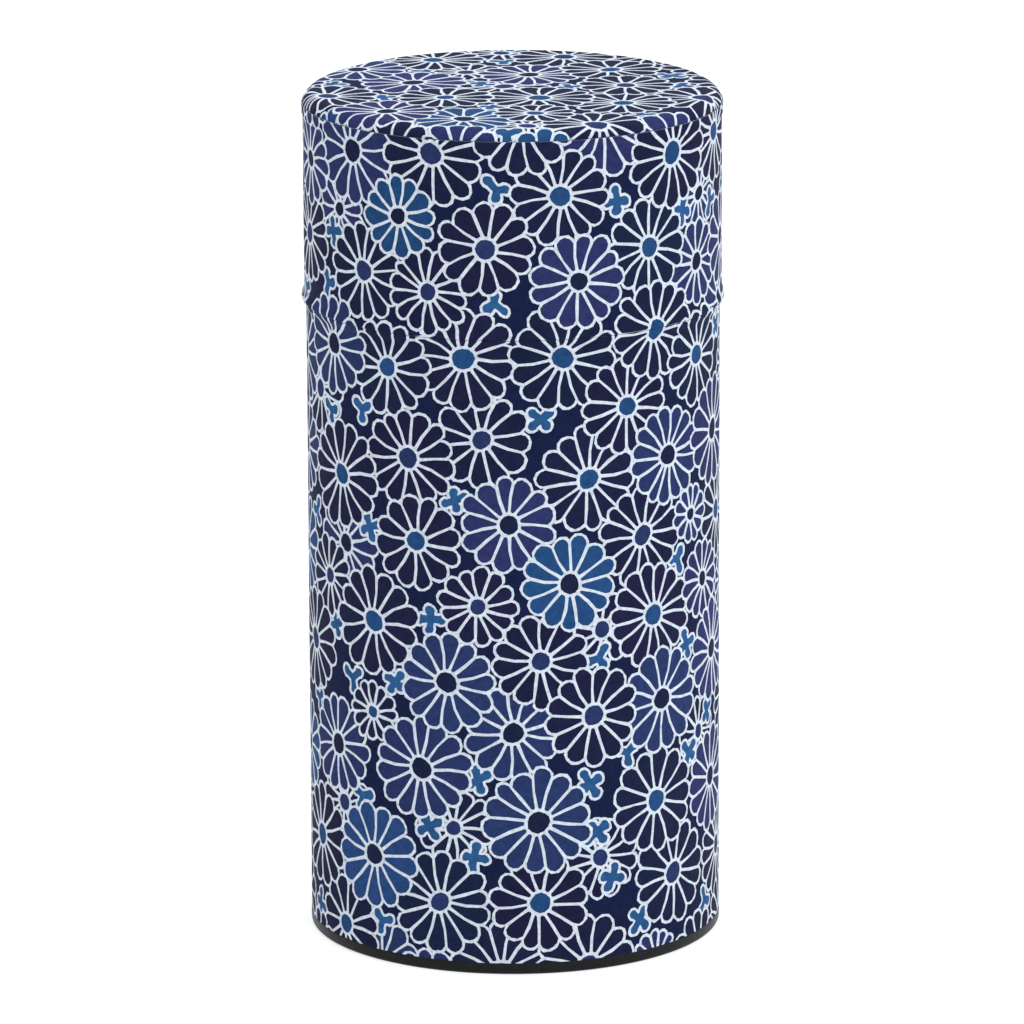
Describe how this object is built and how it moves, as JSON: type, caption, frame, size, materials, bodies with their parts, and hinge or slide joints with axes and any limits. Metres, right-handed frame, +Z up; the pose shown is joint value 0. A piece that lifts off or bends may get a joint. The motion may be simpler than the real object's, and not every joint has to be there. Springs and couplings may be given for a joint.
{
  "type": "spice tin",
  "caption": "Round paper-covered tinplate caddy for spices or tea, with a deep slip-over outer lid, a bare neck and a knobbed plug lid inside.",
  "frame": {"origin": "centre of the circle that the caddy stands on", "axes": "+Z up along the caddy's axis; the papers' laps are at the back, towards +Y"},
  "size_m": [0.0786, 0.0788, 0.1595],
  "materials": {
    "printed_paper": "matt washi paper with a floral print in navy, indigo and blue and silver-white outlines",
    "tinplate": "dull rolled tinplate, hidden under paper outside",
    "bright_tinplate": "bright rolled tinplate with fine scratches",
    "black_lacquer": "satin black lacquer on tinplate",
    "knob_metal": "turned and lightly polished metal"
  },
  "bodies": {
    "can": {"body_shell": "tinplate", "base_end": "black_lacquer", "neck_sleeve": "bright_tinplate", "body_paper": "printed_paper"},
    "outer_lid": {"lid_shell": "tinplate", "lid_top": "tinplate", "lid_side_paper": "printed_paper", "lid_top_paper": "printed_paper"},
    "inner_lid": {"inner_lid_cap": "bright_tinplate", "knob_washer": "bright_tinplate", "inner_lid_knob": "knob_metal", "knob_rivet": "knob_metal"}
  },
  "joints": [
    {"name": "outer_lid_lift", "type": "slide", "parent": "can", "child": "outer_lid", "axis": [0, 0, 1], "range_m": [0, 0.11]},
    {"name": "inner_lid_lift", "type": "slide", "parent": "can", "child": "inner_lid", "axis": [0, 0, 1], "range_m": [0, 0.055]}
  ],
  "couplings": [
    {"joint": "inner_lid_lift", "follows": "outer_lid_lift", "ratio": 0.5}
  ]
}
